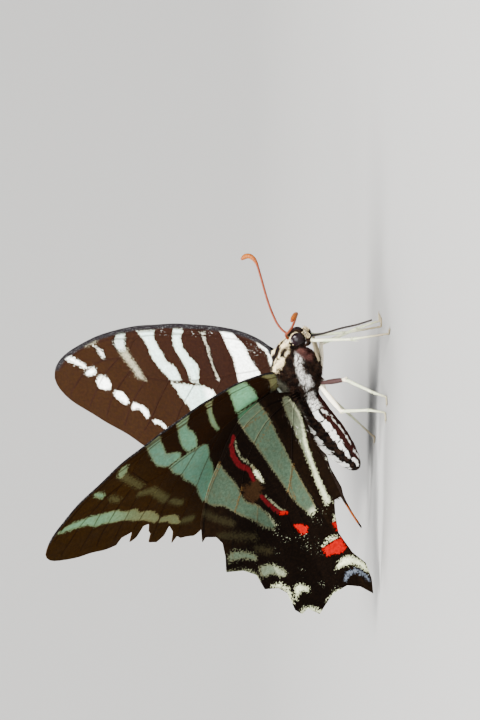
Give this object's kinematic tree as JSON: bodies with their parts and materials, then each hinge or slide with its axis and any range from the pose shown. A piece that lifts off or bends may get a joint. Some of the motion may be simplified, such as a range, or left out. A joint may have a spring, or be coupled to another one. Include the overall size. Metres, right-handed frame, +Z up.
{
  "type": "zebra swallowtail butterfly",
  "caption": "Life-size zebra swallowtail standing with half-raised worn wings, banded dark brown and pale green, with a striped furry body.",
  "frame": {"origin": "on the floor, under the middle of the whole insect's bounding box", "axes": "+X towards the head, from the hind wings to the feelers and the longest extent by a little, +Y towards the insect's left, +Z up"},
  "size_m": [0.0498, 0.0486, 0.048],
  "materials": {
    "head_fur": "soft fur in cream and dark brown",
    "thorax_fur": "dense fur, dark with cream and grey stripes",
    "abdomen_scales": "short scales in cream and dark stripes",
    "palp": "pale hair",
    "leg": "pale scaled shell, dark red on some thighs",
    "antenna": "smooth orange shell",
    "proboscis": "smooth dark shell",
    "eye": "glossy dark compound eye",
    "forewing": "matt scales, dark brown with pale green bands",
    "hindwing": "matt scales, dark with pale green bands and red marks"
  },
  "bodies": {
    "root": {"head": "head_fur", "thorax": "thorax_fur", "abdomen": "abdomen_scales", "eye_left": "eye", "eye_right": "eye", "palp_left": "palp", "palp_right": "palp", "antenna_left": "antenna", "antenna_right": "antenna", "proboscis": "proboscis", "forewing_left": "forewing", "forewing_right": "forewing", "hindwing_left": "hindwing", "hindwing_right": "hindwing", "leg_fore_left": "leg", "leg_fore_right": "leg", "leg_mid_left": "leg", "leg_mid_right": "leg", "leg_hind_left": "leg", "leg_hind_right": "leg"}
  },
  "joints": []
}
